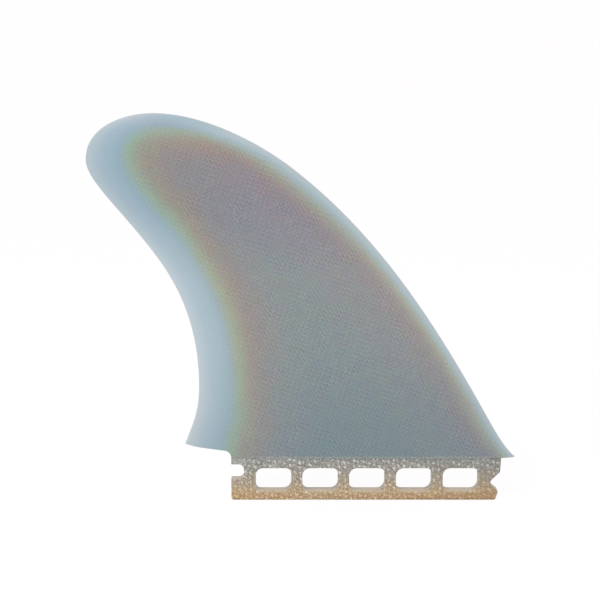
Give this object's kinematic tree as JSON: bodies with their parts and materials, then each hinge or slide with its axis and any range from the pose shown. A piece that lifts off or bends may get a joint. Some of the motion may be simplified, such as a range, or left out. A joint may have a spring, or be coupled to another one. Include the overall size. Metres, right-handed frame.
{
  "type": "surfboard fin",
  "caption": "Raked, foiled fibreglass surfboard fin with a slotted mounting tab that slides into a fin box.",
  "frame": {"origin": "middle of the foot of the mounting tab", "axes": "+X forward to the leading edge, +Y across the fin, +Z from the tab up to the tip"},
  "size_m": [0.1809, 0.0078, 0.1635],
  "materials": {
    "laminate": "sanded gloss resin over woven glass"
  },
  "bodies": {
    "root": {"fin": "laminate"}
  },
  "joints": []
}
